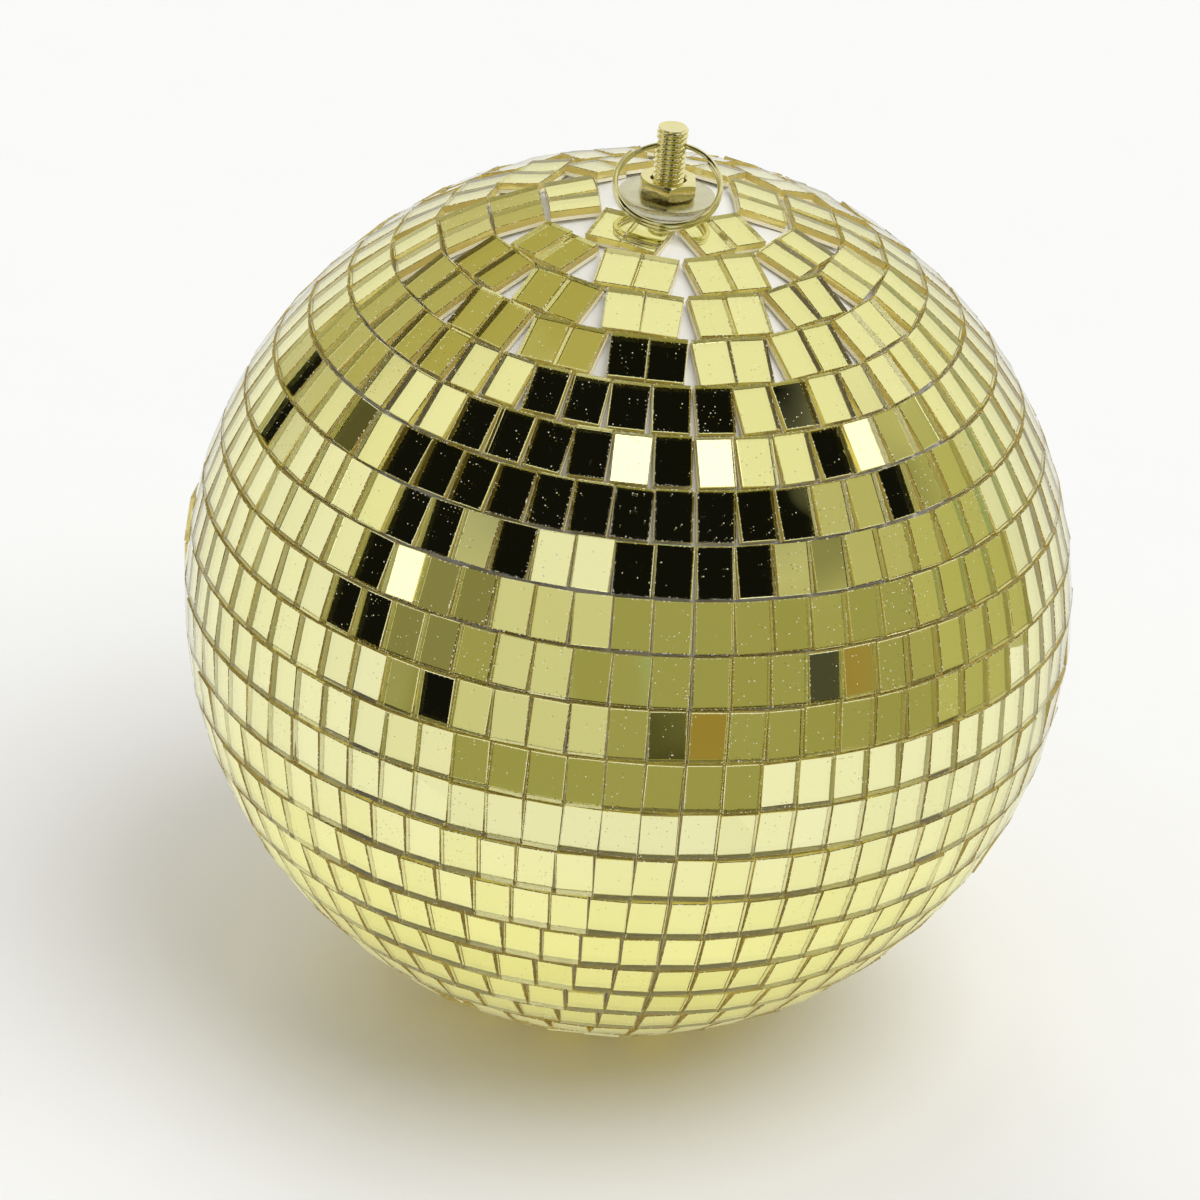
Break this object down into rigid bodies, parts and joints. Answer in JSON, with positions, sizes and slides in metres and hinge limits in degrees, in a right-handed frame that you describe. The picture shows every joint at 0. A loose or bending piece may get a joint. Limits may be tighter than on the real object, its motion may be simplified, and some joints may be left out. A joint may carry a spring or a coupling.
{
  "type": "mirror ball",
  "caption": "Gold mirror ball: hollow core covered in rows of flat mirror tiles, hung from a drilled threaded stud with a split ring through it.",
  "frame": {"origin": "centre of the ball", "axes": "+Z along the hanging bolt, out through the crown; +X along the cross-hole that holds the split ring; the ring rests towards -Y"},
  "size_m": [0.1704, 0.1704, 0.1823],
  "materials": {
    "gold_mirror": "polished, gold-tinted glass mirror",
    "white_shell": "satin white moulding",
    "zinc_yellow": "bright, pale yellow zinc plating",
    "zinc_bright": "bright zinc plating",
    "ring_steel": "polished nickel-plated spring wire"
  },
  "bodies": {
    "ball": {"core_upper_shell": "white_shell", "core_lower_shell": "white_shell", "tile_row_01": "gold_mirror", "tile_row_02": "gold_mirror", "tile_row_03": "gold_mirror", "tile_row_04": "gold_mirror", "tile_row_05": "gold_mirror", "tile_row_06": "gold_mirror", "tile_row_07": "gold_mirror", "tile_row_08": "gold_mirror", "tile_row_09": "gold_mirror", "tile_row_10": "gold_mirror", "tile_row_11": "gold_mirror", "tile_row_12": "gold_mirror", "tile_row_13": "gold_mirror", "tile_row_14": "gold_mirror", "tile_row_15": "gold_mirror", "tile_row_16": "gold_mirror", "tile_row_17": "gold_mirror", "tile_row_18": "gold_mirror", "tile_row_19": "gold_mirror", "tile_row_20": "gold_mirror", "tile_row_21": "gold_mirror", "tile_row_22": "gold_mirror", "tile_row_23": "gold_mirror", "tile_row_24": "gold_mirror", "tile_cap_bottom": "gold_mirror", "hanger_bolt": "zinc_yellow", "crown_nut": "zinc_yellow", "crown_washer": "zinc_bright", "load_washer": "zinc_bright", "spring_washer": "zinc_bright"},
    "ring": {"split_ring": "ring_steel"}
  },
  "joints": [
    {"name": "ring_swing", "type": "hinge", "parent": "ball", "child": "ring", "pos_m": [0, 0, 0.09377], "axis": [-1, 0, 0], "range_deg": [0, 236.3]}
  ]
}
